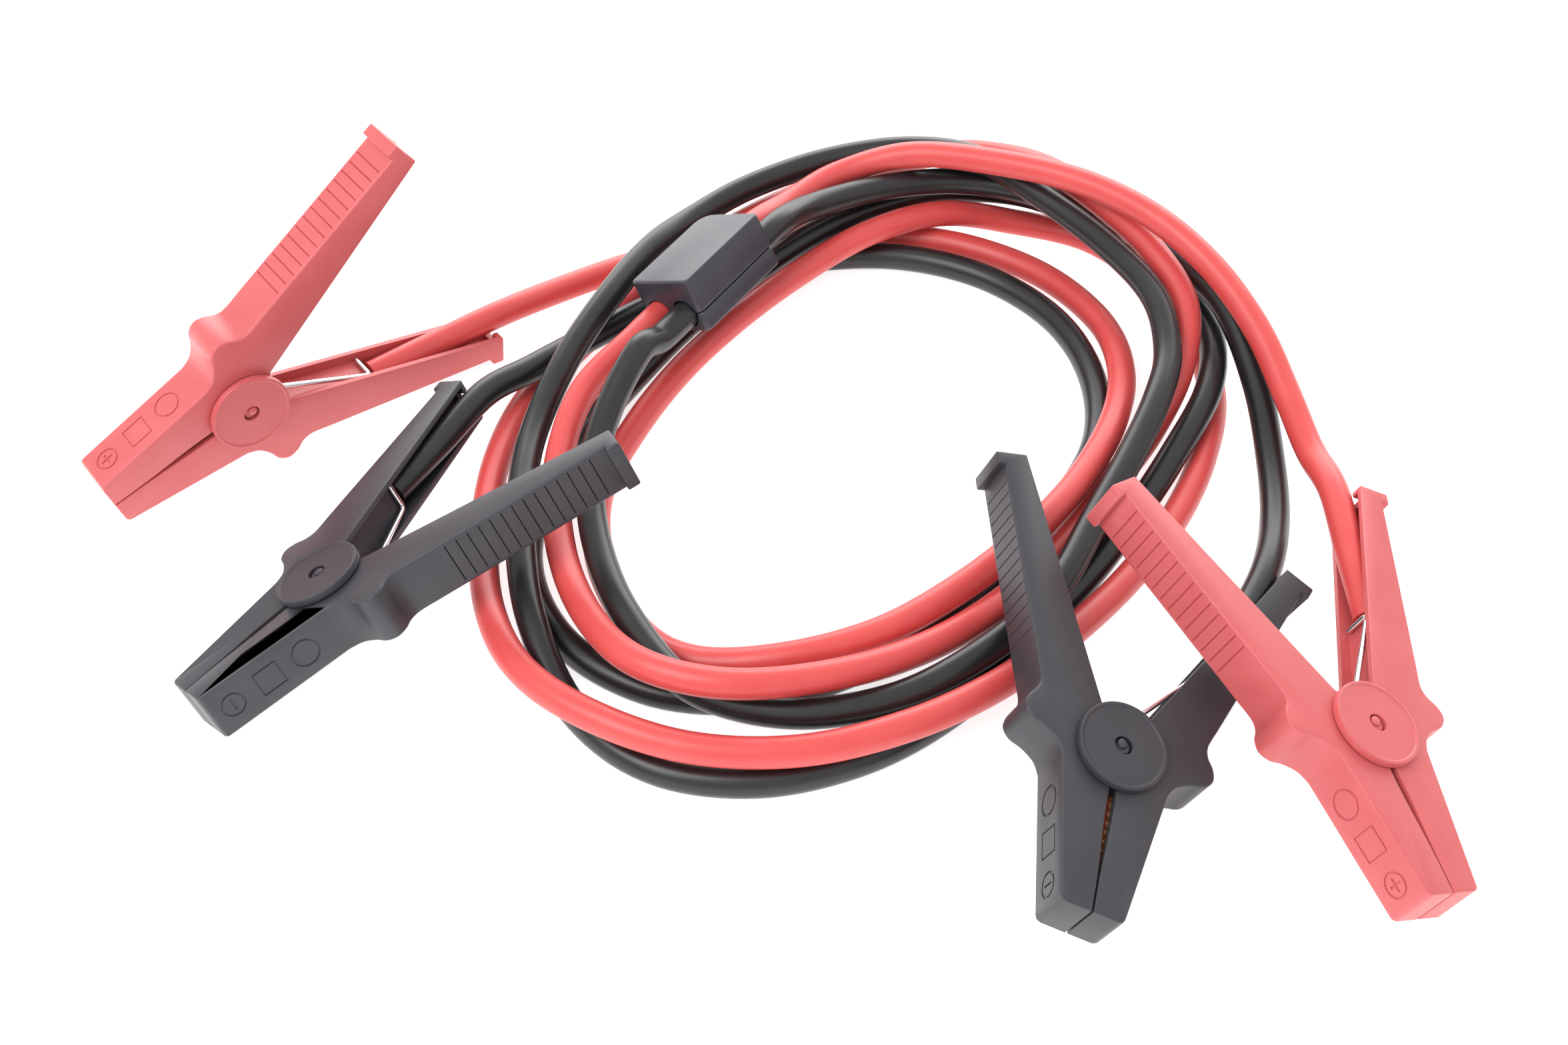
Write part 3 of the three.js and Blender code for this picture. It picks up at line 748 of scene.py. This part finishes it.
def torsion_spring(name, place):
    curve = bpy.data.curves.new(name, "CURVE")
    curve.dimensions = "3D"
    curve.bevel_depth = WIRE_RADIUS
    curve.bevel_resolution = 3
    curve.use_fill_caps = True
    line = [place @ p for p in spring_line()]
    spline = curve.splines.new("POLY")
    spline.points.add(len(line) - 1)
    for knot, point in zip(spline.points, line):
        knot.co = (*point, 1)
    return object_of(name, curve)


# Protection box


def box_outline():
    width, length, _ = BOX_SIZE
    x, y = width / 2, length / 2
    corners = [
        (x - BOX_CORNER, BOX_CORNER - y, BOX_CORNER, -pi / 2),
        (x - BOX_CORNER, y - BOX_CORNER, BOX_CORNER, 0),
        (BOX_BIG_CORNER - x, y - BOX_BIG_CORNER, BOX_BIG_CORNER, pi / 2),
        (BOX_CORNER - x, BOX_CORNER - y, BOX_CORNER, pi),
    ]
    points = []
    for cx, cy, radius, start in corners:
        for i in range(9):
            angle = start + pi / 2 * i / 8
            points.append((cx + radius * cos(angle), cy + radius * sin(angle)))
    return points


def box_housing(name, z0, z1):
    points = box_outline()
    count = len(points)
    shell = prism(name, points, z0, z1, [1] * count, [0] * count, BOX_EDGE)
    _, length, _ = BOX_SIZE
    bores = []
    for x in (-BORE_OFFSET, BORE_OFFSET):
        bore = cylinder("bore", BORE_RADIUS, -length, length, 64)
        bore.matrix_world = Matrix.Translation((x, 0, BOX_PARTING)) @ Matrix.Rotation(pi / 2, 4, "X")
        bores.append(bore)
    combine(shell, "DIFFERENCE", [joined(bores)])
    smooth(shell.data)
    return shell


# The set


def add_piece(mesh, name, place, material, body, node):
    piece = object_of(name, mesh.copy())
    piece.data.transform(place)
    finish_piece(piece, material, body, node)


def make_clamps(materials):
    grips = {"red": grip_shell("grip_plus", True), "black": grip_shell("grip_minus", False)}
    base = cable_shell("cable_side")
    pin = pivot_pin("pin")
    for name, where in CLAMP_PLACES.items():
        place = placed(where)
        colour = name.split("_")[0]
        slot = colour + "_plastic"
        pieces = [
            (grips[colour].data, "_grip", name + "_grip", "_grip_shell"),
            (base.data, "_base", "set", "_cable_shell"),
            (pin.data, "_pin", "set", "_pivot_pin"),
        ]
        for mesh, ending, body, node in pieces:
            add_piece(mesh, name + ending, place, materials[slot], body, name + node)
        spring = torsion_spring(name + "_spring", place)
        finish_piece(spring, materials["bright_steel"], "set", name + "_torsion_spring")
        for node in (name + "_cable_contact", name + "_grip_contact"):
            dress(node, materials["coppered_plate"])
    for used in (*grips.values(), base, pin):
        bpy.data.objects.remove(used)


def dress(node, material):
    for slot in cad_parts[node].material_slots:
        slot.material = material


def make_box(materials):
    place = placed(BOX_PLACE)
    half = BOX_SIZE[2] / 2
    gap = FREE_GAP / 2
    lower = box_housing("lower", -half, BOX_PARTING - gap)
    upper = box_housing("upper", BOX_PARTING + gap, half)
    for shell in (lower, upper):
        name = "box_" + shell.name
        material = materials["box_plastic"]
        add_piece(shell.data, name, place, material, "set", name + "_housing")
        bpy.data.objects.remove(shell)


def area_light(name, place, size, power, target=(0, 0.03, 0)):
    data = bpy.data.lights.new(name, "AREA")
    data.shape = "RECTANGLE"
    data.size, data.size_y = size
    data.energy = power
    light = object_of(name, data)
    light.location = place
    aim = Vector(target) - Vector(place)
    light.rotation_euler = aim.to_track_quat("-Z", "Y").to_euler()


def make_studio():
    world = bpy.data.worlds.new("studio")
    bpy.context.scene.world = world
    world.use_nodes = True
    background = world.node_tree.nodes["Background"]
    background.inputs["Color"].default_value = (1, 1, 1, 1)
    background.inputs["Strength"].default_value = 1.0
    bpy.context.scene.view_settings.view_transform = "Standard"
    floor = prism("floor", [(-3, -3), (3, -3), (3, 3), (-3, 3)], -0.01, -0.0001)
    material, tree, shader = new_material("floor_white")
    shader.inputs["Base Color"].default_value = (0.85, 0.85, 0.85, 1)
    shader.inputs["Roughness"].default_value = 0.9
    shader.inputs["Emission Color"].default_value = (1, 1, 1, 1)
    shader.inputs["Emission Strength"].default_value = 0.75
    floor.data.materials.append(material)
    area_light("key", (-0.7, -0.5, 1.3), (0.9, 0.9), 14)
    area_light("back", (0.2, 1.5, 0.7), (2.2, 1.0), 26)


make_camera()
materials = make_materials()
make_cable("red_cable", "red_left", RED_TO_BOX, -BORE_OFFSET, RED_FROM_BOX, "red_right",
           materials["red_sheath"])
make_cable("black_cable", "black_left", BLACK_TO_BOX, BORE_OFFSET, BLACK_FROM_BOX, "black_right",
           materials["black_sheath"])
make_clamps(materials)
make_box(materials)
make_studio()
